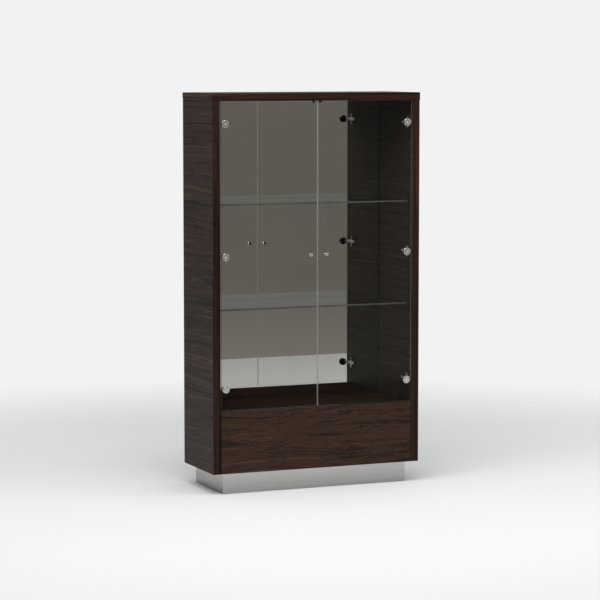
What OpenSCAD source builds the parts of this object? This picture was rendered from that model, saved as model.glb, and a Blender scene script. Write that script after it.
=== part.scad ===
// China cabinet: a tall veneered carcass on a recessed steel plinth, with two frameless
// glass doors over a mirrored display bay and one wide handleless drawer below.
// X runs to the right, Y to the back and Z up, in millimetres. The origin is on the floor
// under the middle of the whole object, knobs included.
// Paired pieces are drawn on the right-hand side and mirrored for the left.

/* [Carcass] */
// Width over the top panel
cabinet_w = 1092; // [900:1:1320]
// Depth from the front edges of the panels to the back panel
cabinet_d = 406; // [335:1:500]
// Height from the floor to the top face
cabinet_h = 1930; // [1600:1:2330]
// Thickness of the top and side panels
panel_t = 38; // [32:1:46]
// How far the top panel stands out past each side panel
top_overhang = 2; // [0:0.5:6]
// Rounding of the front edges of the top and side panels
panel_edge_r = 1.5; // [0.5:0.25:4]
// Thickness of the display floor and of the bottom panel
deck_t = 22; // [18:1:28]
// Thickness of the back panel
back_t = 6; // [4:0.5:9]
// Width of the rebates that the back panel sits in
rebate_w = 10; // [8:1:14]
// Thickness of the mirror
mirror_t = 4; // [3:0.5:6]
// Gap round the edges of the mirror
mirror_gap = 1; // [0.5:0.5:3]

/* [Carcass joints] */
// Diameter of a wooden dowel
dowel_d = 8; // [6:1:10]
// Length of a dowel, half of it in each board
dowel_l = 40; // [30:2:48]
// Distance from a deck's front or back edge to its dowels
dowel_inset = 45; // [30:1:70]
// Diameter of a cam disc
cam_d = 15; // [12:1:18]
// Height of a cam disc
cam_h = 12; // [10:0.5:15]
// Distance from a deck's end to the centre of its cams
cam_inset = 34; // [24:1:44]
// Distance from a deck's front or back edge to its cams
cam_from_edge = 85; // [72:1:110]
// Diameter of a cam bolt
cam_bolt_d = 6; // [5:0.5:8]
// Depth of a cam bolt in the side panel
cam_bolt_depth = 12; // [8:1:20]
// Gap between a fastener and the wall of its hole
fastener_gap = 0.05; // [0.02:0.01:0.2]

/* [Plinth] */
// Height of the plinth
plinth_h = 102; // [70:1:130]
// How far the plinth stands in from the outer faces of the sides
plinth_side_inset = 60; // [20:1:90]
// How far the plinth stands back from the front
plinth_front_inset = 32; // [10:1:60]
// How far the plinth stands in from the back
plinth_back_inset = 3; // [0:1:20]
// Thickness of a plinth board
plinth_t = 18; // [12:1:25]
// Width of the square blocks in the plinth's corners
corner_block_w = 40; // [25:1:60]
// Height of the corner blocks
corner_block_h = 60; // [40:1:68]

/* [Doors] */
// Thickness of the door glass
glass_t = 6; // [5:0.5:8]
// How far the glass stands behind the panels' front edges
door_recess = 1; // [0.5:0.5:3]
// Gap between the two doors
door_middle_gap = 3.5; // [2:0.5:6]
// Gap over the doors
door_top_gap = 3; // [2:0.5:6]
// Gap between the display floor and the doors
door_floor_gap = 2; // [1:0.5:5]
// Least room between the door's corner and the side panel as the door swings
swing_clearance = 0.85; // [0.4:0.05:3]

/* [Hinges] */
// Distance from a door's top or bottom edge to its end hinges
hinge_inset = 105; // [70:1:140]
// Distance from the door's hinged edge to the pivot
pivot_inset = 12.5; // [11:0.5:16]
// Distance from the back of the glass to the pivot
pivot_back = 5.5; // [5:0.25:8]
// Distance from the door's hinged edge to the centre of the hinge cup
cup_inset = 22.5; // [20:0.5:27]
// Diameter of the hole in the glass for a hinge cup
cup_hole_d = 26; // [20:1:30]
// Diameter of a hinge cup behind the glass
cup_d = 36; // [33:1:40]
// How far a hinge cup stands out behind the glass
cup_h = 9.5; // [9:0.5:14]
// Diameter of the round cap in front of the glass
cap_d = 37; // [33:1:41]
// Thickness of the cap
cap_t = 2.5; // [1.5:0.5:4]
// Bevel round the edge of the cap
cap_bevel = 0.8; // [0.2:0.1:1.2]
// Thickness of the gasket between cup and glass
gasket_t = 0.8; // [0.5:0.1:1.2]
// Gap between the cup's boss and the hole in the glass
boss_gap = 0.4; // [0.2:0.1:1]
// Diameter of a hinge pin
pin_d = 3; // [2.5:0.25:4]
// Length of a hinge pin
pin_l = 26; // [18:1:28]
// Gap between the turning eye of the arm and its pin
running_gap = 0.06; // [0.02:0.01:0.1]
// Diameter of the eye at the arm's end
eye_d = 6; // [5.5:0.25:7]
// Height of the arm along the pivot
arm_w = 12; // [10:1:14]
// Gap above and below the arm in the cup's slot
slot_gap = 1; // [0.5:0.25:2]
// Thickness of the arm's cranked blade
blade_t = 3; // [2:0.5:4]
// Thickness of the arm's bar over its plate
arm_bar_t = 7; // [5:0.5:9]
// Length of the arm's bar
arm_l = 75; // [60:1:90]
// Distance from the panels' front edges to the screws of a hinge plate
plate_setback = 57; // [52:1:66]
// Thickness of a hinge plate
plate_t = 3; // [2:0.5:5]
// Length of a hinge plate's base
plate_l = 44; // [36:1:52]
// Height of a hinge plate's base
plate_base_h = 16; // [14:1:20]
// Height over a hinge plate's wings
plate_wing_h = 54; // [46:1:62]
// Width of a hinge plate's wings
plate_wing_w = 13; // [11:1:16]
// Spacing of the two screws in a hinge plate
plate_screw_pitch = 32; // [30:1:34]
// Diameter of the screws in a hinge plate
plate_screw_d = 4; // [3:0.5:5]
// Length of the screws in a hinge plate
plate_screw_l = 18; // [12:1:25]

/* [Knobs] */
// How far the knobs stand out in front of the panels
knob_reach = 24; // [15:1:35]
// Distance from the middle of the cabinet to a knob
knob_x = 41; // [25:1:70]
// Diameter of a knob's head
knob_d = 14; // [10:1:20]
// Diameter of a knob's neck
knob_neck_d = 9; // [7:1:12]
// Length of a knob's head
knob_head_l = 10; // [6:1:14]
// Diameter of the knob's foot on the glass
knob_foot_d = 13; // [10:1:18]
// Thickness of the knob's foot
knob_foot_t = 2; // [1:0.5:4]
// Diameter of the knob screw
knob_screw_d = 4; // [3:0.5:5]
// Depth of the knob screw in the knob
knob_screw_depth = 11; // [6:1:14]
// Diameter of the knob screw's head
knob_screw_head_d = 10; // [8:1:14]
// Thickness of the knob screw's head
knob_screw_head_t = 2.5; // [1.5:0.5:4]
// Diameter of the hole in the glass for the knob screw
knob_hole_d = 6; // [5.5:0.5:7]

/* [Glass shelves] */
// Thickness of a shelf
shelf_t = 8; // [6:1:10]
// Height of the lower shelf's top face above the floor
lower_shelf_z = 893; // [780:1:980]
// Height of the upper shelf's top face above the floor
upper_shelf_z = 1399; // [1260:1:1440]
// Distance from the panels' front edges to the shelves
shelf_setback = 58; // [40:1:90]
// Gap at each end of a shelf and behind it
shelf_gap = 1; // [0.5:0.5:3]
// Diameter of a shelf pin in the side panel
shelf_pin_d = 5; // [4:0.5:7]
// Depth of a shelf pin in the side panel
shelf_pin_depth = 10; // [8:1:15]
// Diameter of the stub that carries the shelf
shelf_stub_d = 8; // [7.5:0.5:12]
// Length of the stub that carries the shelf
shelf_stub_l = 9; // [7:1:16]
// Distance from a shelf's front or back edge to its pins
shelf_pin_inset = 45; // [25:1:80]

/* [Door stops] */
// Distance from the middle of the cabinet to a door stop
stop_x = 18; // [12:1:30]
// Width of a door stop
stop_w = 10; // [6:1:16]
// Depth of a door stop
stop_l = 12; // [8:1:20]
// Height of a door stop under the top panel
stop_h = 9; // [7:0.5:14]
// Gap between a door stop and the glass
stop_gap = 0.5; // [0.3:0.1:2]

/* [Drawer] */
// Height of the drawer front
drawer_front_h = 300; // [250:1:330]
// Thickness of the drawer front
drawer_front_t = 19; // [16:1:24]
// Gap between the drawer front and each side panel
drawer_side_gap = 3; // [1.5:0.5:5]
// How much of the display floor's front edge shows over the drawer front
floor_reveal = 4; // [2:0.5:8]
// Room between the closed drawer front and the decks behind it
drawer_closing_gap = 3; // [1:0.5:6]
// Thickness of the drawer's side, back and inner front boards
drawer_board_t = 15; // [12:1:19]
// Room between the drawer's side boards and the display floor over them
drawer_top_room = 50; // [20:1:80]
// Gap between the bottom panel and the drawer's side boards
drawer_lift = 10; // [6:1:16]
// Thickness of the drawer bottom
drawer_bottom_t = 6; // [4:0.5:9]
// Depth of the groove that holds the drawer bottom
groove_depth = 6; // [4:0.5:8]
// Height of the groove above the boards' lower edges
groove_lift = 12; // [8:1:20]
// Gap between the drawer bottom and its grooves
groove_gap = 0.15; // [0.05:0.05:0.5]
// Room kept behind the drawer box for the push latch
latch_room = 41; // [36:1:60]

/* [Drawer runners] */
// Width of a runner between the side panel and the drawer
runner_w = 12.7; // [12.5:0.1:14]
// Height of a runner's outer member
runner_h = 45; // [42:1:50]
// Thickness of the runner steel
runner_steel_t = 1.2; // [1:0.1:1.5]
// Room for the balls between two members
ball_space = 3; // [2.6:0.1:3.2]
// Gap between a ball and the members
ball_gap = 0.1; // [0.05:0.05:0.3]
// Height of the runners' middle above the drawer boards' lower edges
runner_lift = 70; // [45:1:100]
// Room kept behind the runners
runner_back_room = 24; // [10:1:40]
// Number of balls in a cage
balls_per_cage = 9; // [4:1:12]
// Distance between two balls in a cage
ball_pitch = 14; // [8:1:16]
// Diameter of the runner screws
runner_screw_d = 3.5; // [3:0.5:4]
// Length of the runner screws
runner_screw_l = 12; // [9:1:12]
// Thickness of the runner screws' flat heads
runner_screw_head_t = 1.1; // [0.8:0.1:1.3]

/* [Push latch] */
// Width of the latch housing
latch_w = 22; // [16:1:30]
// Height of the latch housing
latch_h = 30; // [24:1:40]
// Diameter of the plunger
plunger_d = 8; // [6:1:12]
// Length of the plunger
plunger_l = 24; // [20:1:26]
// How far the plunger stands out of its housing
plunger_out = 8; // [6:1:12]
// Height of the plunger above the bottom panel
plunger_lift = 18; // [15:1:22]
// Gap between the closed drawer and the plunger
plunger_gap = 0.6; // [0.4:0.1:2]
// Travel of the plunger
plunger_travel = 4; // [3:0.5:5]

/* [Hidden] */
$fn = 48;
overcut = 0.5;          // how far a cutting shape runs past the face that it opens
small_hole_fn = 24;

// Levels and planes of the carcass
front_y = (knob_reach - cabinet_d) / 2;
back_y = front_y + cabinet_d;
inner_back_y = back_y - back_t;
mirror_y = inner_back_y - mirror_t;
side_x = cabinet_w / 2 - top_overhang;
bay_x = side_x - panel_t;
top_z = cabinet_h - panel_t;
drawer_top_z = plinth_h + drawer_front_h;
floor_z = drawer_top_z + floor_reveal;
deck_front_y = front_y + drawer_front_t + drawer_closing_gap;
deck_levels = [plinth_h + deck_t / 2, floor_z - deck_t / 2];

// Places of the carcass fasteners
deck_dowel_y = [deck_front_y + dowel_inset, inner_back_y - dowel_inset];
deck_cam_y = [deck_front_y + cam_from_edge, inner_back_y - cam_from_edge];
top_dowel_x = side_x - panel_t / 2;
top_dowel_y = [front_y + dowel_inset, (front_y + back_y) / 2, back_y - dowel_inset];
back_screw_d = 3.5;
back_screw_l = 25;
back_screw_margin = 80;
back_screw_rows = 6;
back_screw_columns = 5;
back_row_step = (top_z - plinth_h - 2 * back_screw_margin) / (back_screw_rows - 1);
back_column_step = 2 * (bay_x - back_screw_margin) / (back_screw_columns - 1);

// Plinth
plinth_x = side_x - plinth_side_inset;
plinth_front_y = front_y + plinth_front_inset;
plinth_back_y = back_y - plinth_back_inset;

// Doors and hinges
glass_front_y = front_y + door_recess;
glass_back_y = glass_front_y + glass_t;
swing_r = sqrt(pow(pivot_inset, 2) + pow(glass_t + pivot_back, 2));
door_side_gap = swing_r - pivot_inset + swing_clearance;
glass_edge_x = bay_x - door_side_gap;
door_bottom_z = floor_z + door_floor_gap;
door_top_z = top_z - door_top_gap;
pivot_x = glass_edge_x - pivot_inset;
pivot_y = glass_back_y + pivot_back;
cup_x = glass_edge_x - cup_inset;
hinge_levels = [
    door_bottom_z + hinge_inset,
    (door_bottom_z + door_top_z) / 2,
    door_top_z - hinge_inset,
];
slot_floor_gap = 0.5;
slot_floor_y = pivot_y - eye_d / 2 - slot_floor_gap;
crank_room = 1;
crank_y = pivot_y + swing_r + crank_room;
plate_face_x = bay_x - plate_t;
plate_y = front_y + plate_setback;
arm_screw_d = 5;
arm_screw_offset = 9;
arm_screw_head_d = 8;
arm_screw_head_t = 2;
knob_z = (door_bottom_z + door_top_z) / 2;
knob_l = knob_reach + door_recess;

// Shelves
shelf_x = bay_x - shelf_gap;
shelf_front_y = front_y + shelf_setback;
shelf_back_y = mirror_y - shelf_gap;
shelf_pin_y = [shelf_front_y + shelf_pin_inset, shelf_back_y - shelf_pin_inset];

// Drawer box
drawer_box_x = bay_x - runner_w;
drawer_inner_x = drawer_box_x - drawer_board_t;
drawer_box_front_y = front_y + drawer_front_t;
drawer_box_back_y = inner_back_y - latch_room;
drawer_box_z = plinth_h + deck_t + drawer_lift;
drawer_box_h = floor_z - deck_t - drawer_top_room - drawer_box_z;
drawer_bottom_z = drawer_box_z + groove_lift;
front_screw_d = 4;
front_screw_l = 27;
front_screw_head_d = 9;
front_screw_head_t = 2;
front_screw_x_margin = 90;
front_screw_z_margin = 45;

// Runners: each member nests in the one outside it, with a row of balls above and below
runner_front_room = 2;
runner_front_y = deck_front_y + runner_front_room;
runner_back_y = inner_back_y - runner_back_room;
runner_l = runner_back_y - runner_front_y;
runner_z = drawer_box_z + runner_lift;
runner_web_step = 3;
outer_lip = 10;
middle_h = runner_h - 2 * (runner_steel_t + ball_space);
inner_h = middle_h - 2 * (runner_steel_t + ball_space);
ball_x = bay_x - 2 * runner_web_step - runner_steel_t / 2;
cage_w = 4;
cage_t = 0.8;
cage_end = 10;
cage_rim = 4;
cage_l = (balls_per_cage - 1) * ball_pitch + 2 * cage_rim;
runner_screw_inset = 35;
runner_screw_y = [
    runner_front_y + runner_screw_inset,
    (runner_front_y + runner_back_y) / 2,
    runner_back_y - runner_screw_inset,
];
runner_screw_head_d = 7;

// Push latch
plunger_tip_y = drawer_box_back_y + plunger_gap;
latch_front_y = plunger_tip_y + plunger_out;
plunger_z = plinth_h + deck_t + plunger_lift;

// Finishes
WENGE = "#3d2b24";
WENGE_EDGE = "#4a2a20";
STAINLESS = "#a8aaa9";
CHROME = "#cfd3d6";
ZINC = "#9da3a8";
GLASS = "#b9cfcb";
BEECH = "#c9a676";

// ---- Shared shapes ----

// A block between two corners
module block(x0, x1, y0, y1, z0, z1)
    translate([x0, y0, z0])
        cube([x1 - x0, y1 - y0, z1 - z0]);

// The children and their mirror image
module both_sides() {
    children();
    mirror([1, 0, 0])
        children();
}

// The mirror image only, for a piece of the left-hand side
module on_left()
    mirror([1, 0, 0])
        children();

// A round rod along X, Y or Z, centred on the other two axes
module rod_x(d, x0, x1)
    translate([x0, 0, 0])
        rotate([0, 90, 0])
            cylinder(d = d, h = x1 - x0);

module rod_y(d, y0, y1)
    translate([0, y0, 0])
        rotate([-90, 0, 0])
            cylinder(d = d, h = y1 - y0);

module rod_z(d, z0, z1)
    translate([0, 0, z0])
        cylinder(d = d, h = z1 - z0);

// A board's section with its two corners at the low second coordinate rounded
module eased_section(u0, u1, v0, v1, r) {
    translate([u0, v0 + r])
        square([u1 - u0, v1 - v0 - r]);
    translate([u0 + r, v0])
        square([u1 - u0 - 2 * r, 2 * r]);
    for (u = [u0 + r, u1 - r])
        translate([u, v0 + r])
            circle(r = r);
}

// Countersunk screw along -Z with its head flush at Z = 0; grow makes the hole for it
module countersunk_screw(d, l, grow = 0) {
    head_h = 0.8 * d;
    translate([0, 0, -l - grow])
        cylinder(d = d + 2 * grow, h = l + grow);
    translate([0, 0, -head_h])
        cylinder(d1 = d + 2 * grow, d2 = 2 * d + 2 * grow, h = head_h);
}

// Cross recess, cut into a screw head at Z = 0
module cross_recess(size, depth)
    for (turn = [0, 90])
        rotate([0, 0, turn])
            translate([-size / 2, -size / 8, -depth])
                cube([size, size / 4, depth + overcut]);

// Flat-headed screw along -Z with the underside of its head at Z = 0
module flat_screw(d, l, head_d, head_t)
    difference() {
        union() {
            translate([0, 0, -l])
                cylinder(d = d, h = l);
            cylinder(d = head_d, h = head_t);
        }
        translate([0, 0, head_t])
            cross_recess(0.6 * head_d, 0.6 * head_t);
    }

// Turns a screw along -Z so that it points to +X, or to -Y
module towards_right()
    rotate([0, -90, 0])
        children();

module towards_front()
    rotate([-90, 0, 0])
        children();

// ---- Places of the fasteners ----

module at_deck_dowels()
    for (z = deck_levels, y = deck_dowel_y)
        translate([bay_x, y, z])
            children();

module at_deck_cams()
    for (z = deck_levels, y = deck_cam_y)
        translate([bay_x, y, z])
            children();

module at_top_dowels()
    for (y = top_dowel_y)
        translate([top_dowel_x, y, top_z])
            children();

// Screws through the back panel into the right-hand side panel
module at_back_side_screws()
    for (row = [0 : back_screw_rows - 1])
        translate([bay_x + rebate_w / 2, back_y, plinth_h + back_screw_margin + row * back_row_step])
            children();

// Screws through the back panel at one level, right across it
module at_back_screw_line(z)
    for (column = [0 : back_screw_columns - 1])
        translate([-bay_x + back_screw_margin + column * back_column_step, back_y, z])
            children();

module at_hinges()
    for (z = hinge_levels)
        translate([0, 0, z])
            children();

module at_plate_screws()
    for (z = hinge_levels, dz = [-1, 1] * plate_screw_pitch / 2)
        translate([plate_face_x, plate_y, z + dz])
            children();

module at_shelf_pins(shelf_z)
    for (y = shelf_pin_y)
        translate([bay_x, y, shelf_z - shelf_t - shelf_stub_d / 2])
            children();

module at_outer_runner_screws()
    for (y = runner_screw_y)
        translate([bay_x - runner_steel_t, y, runner_z])
            children();

module at_inner_runner_screws()
    for (y = runner_screw_y)
        translate([drawer_box_x + runner_steel_t, y, runner_z])
            children();

module at_front_screws()
    for (x = [-1, 0, 1] * (drawer_inner_x - front_screw_x_margin),
         z = [drawer_box_z + front_screw_z_margin, drawer_box_z + drawer_box_h - front_screw_z_margin])
        translate([x, drawer_box_front_y + drawer_board_t, z])
            children();

// ---- Holes for the fasteners ----

module deck_dowel_holes()
    at_deck_dowels()
        rod_x(dowel_d + 2 * fastener_gap, -dowel_l / 2 - overcut, dowel_l / 2 + overcut);

module cam_bolt_holes()
    at_deck_cams()
        rod_x(cam_bolt_d + 2 * fastener_gap, -cam_inset, cam_bolt_depth + overcut);

module top_dowel_holes()
    at_top_dowels()
        rod_z(dowel_d + 2 * fastener_gap, -dowel_l / 2 - overcut, dowel_l / 2 + overcut);

module back_screw_hole()
    towards_front()
        countersunk_screw(back_screw_d, back_screw_l, fastener_gap);

// ---- Carcass ----

// Thick side panel, with its bores and the rebate for the back panel
module side_panel()
    color(WENGE)
        difference() {
            translate([0, 0, plinth_h])
                linear_extrude(top_z - plinth_h)
                    eased_section(bay_x, side_x, front_y, back_y, panel_edge_r);
            block(bay_x - overcut, bay_x + rebate_w, inner_back_y, back_y + overcut,
                  plinth_h - overcut, top_z + overcut);
            deck_dowel_holes();
            cam_bolt_holes();
            top_dowel_holes();
            at_back_side_screws()
                back_screw_hole();
            for (shelf_z = [lower_shelf_z, upper_shelf_z])
                at_shelf_pins(shelf_z)
                    rod_x(shelf_pin_d + 2 * fastener_gap, -overcut, shelf_pin_depth + overcut);
            at_plate_screws()
                towards_right()
                    countersunk_screw(plate_screw_d, plate_screw_l, fastener_gap);
            at_outer_runner_screws()
                rod_x(runner_screw_d + 2 * fastener_gap, 0, runner_screw_l + overcut);
        }

// Thick top panel lying over both sides
module top_panel()
    color(WENGE)
        difference() {
            translate([-cabinet_w / 2, 0, 0])
                rotate([90, 0, 90])
                    linear_extrude(cabinet_w)
                        rotate([0, 0, 90])
                            mirror([0, 1, 0])
                                eased_section(top_z, cabinet_h, front_y, back_y, panel_edge_r);
            block(-bay_x - rebate_w, bay_x + rebate_w, inner_back_y, back_y + overcut,
                  top_z - overcut, top_z + rebate_w);
            both_sides()
                top_dowel_holes();
            at_back_screw_line(top_z + rebate_w / 2)
                back_screw_hole();
        }

// Deck between the sides; its cams are set in from below
module deck(level)
    color(WENGE)
        difference() {
            block(-bay_x, bay_x, deck_front_y, inner_back_y, level - deck_t / 2, level + deck_t / 2);
            both_sides() {
                deck_dowel_holes();
                cam_bolt_holes();
                at_deck_cams()
                    translate([-cam_inset, 0, 0])
                        rod_z(cam_d + 2 * fastener_gap, -deck_t / 2 - overcut, -deck_t / 2 + cam_h);
            }
            at_back_screw_line(level)
                back_screw_hole();
        }

// Thin back panel in the rebates
module back_panel()
    color(WENGE)
        difference() {
            block(-bay_x - rebate_w, bay_x + rebate_w, inner_back_y, back_y, plinth_h, top_z + rebate_w);
            both_sides()
                at_back_side_screws()
                    back_screw_hole();
            for (z = [deck_levels[0], deck_levels[1], top_z + rebate_w / 2])
                at_back_screw_line(z)
                    back_screw_hole();
        }

// Mirror glued to the back panel behind the whole display bay
module back_mirror()
    color(CHROME)
        block(-bay_x + mirror_gap, bay_x - mirror_gap, mirror_y, inner_back_y,
              floor_z, top_z - mirror_gap);

module carcass_dowels()
    color(BEECH)
        both_sides() {
            at_deck_dowels()
                rod_x(dowel_d, -dowel_l / 2, dowel_l / 2);
            at_top_dowels()
                rod_z(dowel_d, -dowel_l / 2, dowel_l / 2);
        }

// Bolts from the side panels to the rims of the cams
module cam_bolts()
    color(ZINC)
        both_sides()
            at_deck_cams()
                rod_x(cam_bolt_d, -cam_inset + cam_d / 2, cam_bolt_depth);

module cam_discs()
    color(ZINC)
        both_sides()
            at_deck_cams()
                translate([-cam_inset, 0, -deck_t / 2])
                    difference() {
                        rod_z(cam_d, 0, cam_h);
                        mirror([0, 0, 1])
                            cross_recess(0.5 * cam_d, 0.25 * cam_h);
                    }

module back_panel_screws()
    color(ZINC) {
        both_sides()
            at_back_side_screws()
                towards_front()
                    countersunk_screw(back_screw_d, back_screw_l);
        for (z = [deck_levels[0], deck_levels[1], top_z + rebate_w / 2])
            at_back_screw_line(z)
                towards_front()
                    countersunk_screw(back_screw_d, back_screw_l);
    }

// ---- Plinth ----

module plinth_cross_board(y)
    color(STAINLESS)
        block(-plinth_x, plinth_x, y, y + plinth_t, 0, plinth_h);

module plinth_end_board()
    color(STAINLESS)
        block(plinth_x - plinth_t, plinth_x, plinth_front_y + plinth_t, plinth_back_y - plinth_t,
              0, plinth_h);

// Blocks glued in the plinth's four inner corners, under the bottom panel
module plinth_corner_blocks()
    color(BEECH)
        both_sides()
            for (y = [plinth_front_y + plinth_t, plinth_back_y - plinth_t - corner_block_w])
                block(plinth_x - plinth_t - corner_block_w, plinth_x - plinth_t, y, y + corner_block_w,
                      plinth_h - corner_block_h, plinth_h);

// ---- Shelves ----

module glass_shelf(shelf_z)
    color(GLASS, 0.5)
        block(-shelf_x, shelf_x, shelf_front_y, shelf_back_y, shelf_z - shelf_t, shelf_z);

module shelf_pins(shelf_z)
    color(CHROME)
        both_sides()
            at_shelf_pins(shelf_z) {
                rod_x(shelf_pin_d, 0, shelf_pin_depth);
                rod_x(shelf_stub_d, -shelf_stub_l, 0);
            }

// ---- Doors ----

// Frameless glass door, drilled for three hinge cups and the knob screw
module door_glass()
    color(GLASS, 0.5)
        difference() {
            block(door_middle_gap / 2, glass_edge_x, glass_front_y, glass_back_y,
                  door_bottom_z, door_top_z);
            at_hinges()
                translate([cup_x, 0, 0])
                    rod_y(cup_hole_d, glass_front_y - overcut, glass_back_y + overcut);
            translate([knob_x, 0, knob_z])
                rod_y(knob_hole_d, glass_front_y - overcut, glass_back_y + overcut);
        }

// Round caps that cover the hinge cups in front of the glass
module hinge_caps()
    color(CHROME)
        at_hinges()
            translate([cup_x, glass_front_y, 0])
                rotate([90, 0, 0]) {
                    cylinder(d = cap_d, h = cap_t - cap_bevel);
                    translate([0, 0, cap_t - cap_bevel])
                        cylinder(d1 = cap_d, d2 = cap_d - 2 * cap_bevel, h = cap_bevel);
                }

// Cups behind the glass: a boss through the glass, a slot for the arm and the pin's bore
module hinge_cups()
    color("#33363a")
        at_hinges()
            difference() {
                translate([cup_x, 0, 0]) {
                    rod_y(cup_d, glass_back_y + gasket_t, glass_back_y + cup_h);
                    rod_y(cup_hole_d - 2 * boss_gap, glass_front_y, glass_back_y + gasket_t);
                }
                block(pivot_x - eye_d / 2 - slot_gap, glass_edge_x + overcut,
                      slot_floor_y, glass_back_y + cup_h + overcut,
                      -arm_w / 2 - slot_gap, arm_w / 2 + slot_gap);
                translate([pivot_x, pivot_y, 0])
                    rod_z(pin_d + 2 * fastener_gap, -pin_l / 2 - fastener_gap, pin_l / 2 + fastener_gap);
            }

// Soft rings between the cups and the glass
module hinge_gaskets()
    color("#202020")
        at_hinges()
            translate([cup_x, 0, 0])
                difference() {
                    rod_y(cup_d, glass_back_y, glass_back_y + gasket_t);
                    rod_y(cup_hole_d, glass_back_y - overcut, glass_back_y + gasket_t + overcut);
                }

module hinge_pins()
    color(ZINC)
        at_hinges()
            translate([pivot_x, pivot_y, 0])
                rod_z(pin_d, -pin_l / 2, pin_l / 2);

// Arms: an eye on the pin, a blade cranked round the swinging edge of the glass, and a bar
module hinge_arms()
    color(CHROME)
        at_hinges()
            difference() {
                union() {
                    translate([pivot_x, pivot_y, 0])
                        rod_z(eye_d, -arm_w / 2, arm_w / 2);
                    block(pivot_x - blade_t / 2, pivot_x + blade_t / 2, pivot_y, crank_y + blade_t,
                          -arm_w / 2, arm_w / 2);
                    block(pivot_x - blade_t / 2, plate_face_x, crank_y, crank_y + blade_t,
                          -arm_w / 2, arm_w / 2);
                    block(plate_face_x - arm_bar_t, plate_face_x, crank_y, crank_y + arm_l,
                          -arm_w / 2, arm_w / 2);
                }
                translate([pivot_x, pivot_y, 0])
                    rod_z(pin_d + 2 * running_gap, -arm_w, arm_w);
                translate([0, plate_y + arm_screw_offset, 0])
                    rod_x(arm_screw_d + 2 * fastener_gap, pivot_x, bay_x);
            }

// Cross-shaped plates that hold the arms on the side panels
module hinge_plates()
    color(CHROME)
        difference() {
            at_hinges() {
                block(plate_face_x, bay_x, plate_y - plate_l / 2, plate_y + plate_l / 2,
                      -plate_base_h / 2, plate_base_h / 2);
                block(plate_face_x, bay_x, plate_y - plate_wing_w / 2, plate_y + plate_wing_w / 2,
                      -(plate_wing_h - plate_wing_w) / 2, (plate_wing_h - plate_wing_w) / 2);
                for (dz = [-1, 1] * (plate_wing_h - plate_wing_w) / 2)
                    translate([0, plate_y, dz])
                        rod_x(plate_wing_w, plate_face_x, bay_x);
            }
            at_plate_screws()
                towards_right()
                    countersunk_screw(plate_screw_d, plate_screw_l, fastener_gap);
            at_hinges()
                translate([0, plate_y + arm_screw_offset, 0])
                    rod_x(arm_screw_d + 2 * fastener_gap, pivot_x, bay_x + overcut);
        }

module hinge_plate_screws()
    color(ZINC)
        both_sides()
            at_plate_screws()
                towards_right()
                    countersunk_screw(plate_screw_d, plate_screw_l);

module hinge_arm_screws()
    color(ZINC)
        both_sides()
            at_hinges()
                translate([plate_face_x - arm_bar_t, plate_y + arm_screw_offset, 0])
                    towards_right()
                        flat_screw(arm_screw_d, arm_bar_t + plate_t, arm_screw_head_d, arm_screw_head_t);

// Turned knob: a foot on the glass, a neck and a bevelled head
module door_knob()
    color(CHROME)
        translate([knob_x, glass_front_y, knob_z])
            rotate([90, 0, 0])
                difference() {
                    union() {
                        cylinder(d = knob_foot_d, h = knob_foot_t);
                        cylinder(d = knob_neck_d, h = knob_l - knob_head_l);
                        translate([0, 0, knob_l - knob_head_l])
                            cylinder(d = knob_d, h = knob_head_l - cap_bevel);
                        translate([0, 0, knob_l - cap_bevel])
                            cylinder(d1 = knob_d, d2 = knob_d - 2 * cap_bevel, h = cap_bevel);
                    }
                    translate([0, 0, -overcut])
                        cylinder(d = knob_screw_d + 2 * fastener_gap, h = knob_screw_depth + 2 * overcut,
                                 $fn = small_hole_fn);
                }

// Screw from behind the glass into the knob
module knob_screw()
    color(CHROME)
        translate([knob_x, glass_back_y, knob_z])
            towards_front()
                flat_screw(knob_screw_d, glass_t + knob_screw_depth, knob_screw_head_d, knob_screw_head_t);

// Small stops under the top panel, just behind the free edges of the doors
module door_stops()
    color("#1c1c1c")
        both_sides()
            block(stop_x - stop_w / 2, stop_x + stop_w / 2,
                  glass_back_y + stop_gap, glass_back_y + stop_gap + stop_l,
                  top_z - stop_h, top_z);

// ---- Drawer ----

module drawer_front()
    color(WENGE_EDGE)
        difference() {
            block(-bay_x + drawer_side_gap, bay_x - drawer_side_gap, front_y, drawer_box_front_y,
                  plinth_h, drawer_top_z);
            at_front_screws()
                rod_y(front_screw_d + 2 * fastener_gap, -front_screw_l - overcut, 0);
        }

// Boards of the drawer box, all grooved for the bottom
module drawer_bottom_groove()
    block(-drawer_inner_x - groove_depth - groove_gap, drawer_inner_x + groove_depth + groove_gap,
          drawer_box_front_y + drawer_board_t - groove_depth - groove_gap,
          drawer_box_back_y - drawer_board_t + groove_depth + groove_gap,
          drawer_bottom_z - groove_gap, drawer_bottom_z + drawer_bottom_t + groove_gap);

module drawer_side()
    color(BEECH)
        difference() {
            block(drawer_inner_x, drawer_box_x, drawer_box_front_y, drawer_box_back_y,
                  drawer_box_z, drawer_box_z + drawer_box_h);
            drawer_bottom_groove();
            at_inner_runner_screws()
                rod_x(runner_screw_d + 2 * fastener_gap, -runner_screw_l - overcut, 0);
        }

module drawer_cross_board(y)
    color(BEECH)
        difference() {
            block(-drawer_inner_x, drawer_inner_x, y, y + drawer_board_t,
                  drawer_box_z, drawer_box_z + drawer_box_h);
            drawer_bottom_groove();
            at_front_screws()
                rod_y(front_screw_d + 2 * fastener_gap, -drawer_board_t - overcut, overcut);
        }

module drawer_bottom()
    color(BEECH)
        block(-drawer_inner_x - groove_depth, drawer_inner_x + groove_depth,
              drawer_box_front_y + drawer_board_t - groove_depth,
              drawer_box_back_y - drawer_board_t + groove_depth,
              drawer_bottom_z, drawer_bottom_z + drawer_bottom_t);

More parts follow.
